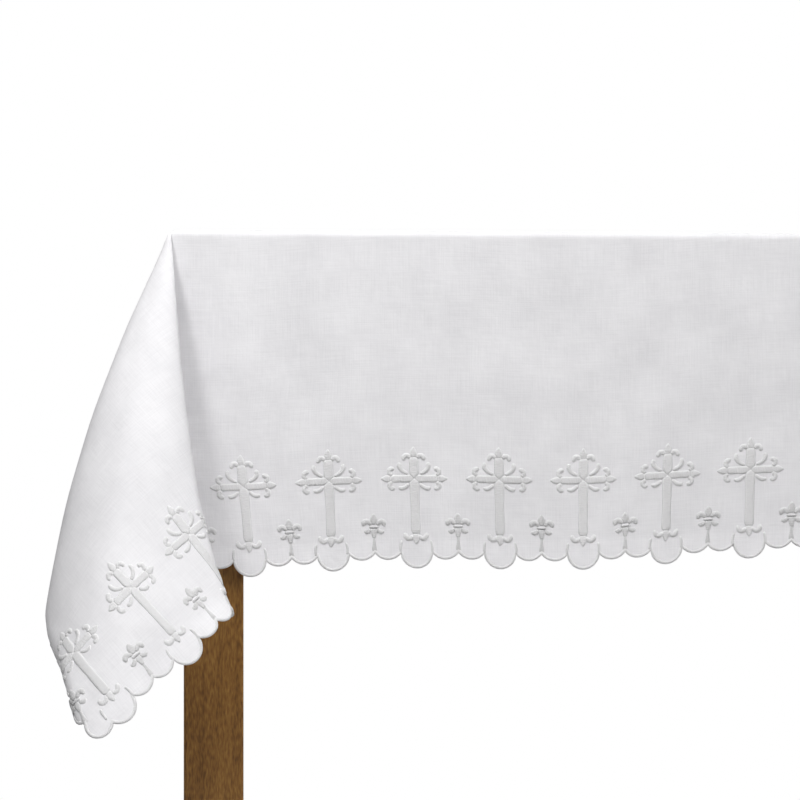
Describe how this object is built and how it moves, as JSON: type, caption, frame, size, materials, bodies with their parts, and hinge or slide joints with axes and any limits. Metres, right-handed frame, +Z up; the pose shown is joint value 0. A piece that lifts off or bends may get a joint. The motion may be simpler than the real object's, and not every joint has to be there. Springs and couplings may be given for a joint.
{
  "type": "altar frontal on table",
  "caption": "White linen altar cloth with a scalloped, embroidered hem, draped over a plain wooden table with a large fold swinging out at each corner.",
  "frame": {"origin": "on the floor under the middle of the table", "axes": "+X along the table's length to the viewer's right, -Y toward the front, +Z up"},
  "size_m": [1.7824, 0.9592, 0.9915],
  "materials": {
    "linen": "matt white linen with satin embroidery",
    "wood": "satin brown stain"
  },
  "bodies": {
    "root": {"cloth": "linen", "tabletop": "wood", "leg_front_left": "wood", "leg_front_right": "wood", "leg_back_left": "wood", "leg_back_right": "wood", "apron_front": "wood", "apron_back": "wood", "apron_left": "wood", "apron_right": "wood"}
  },
  "joints": []
}
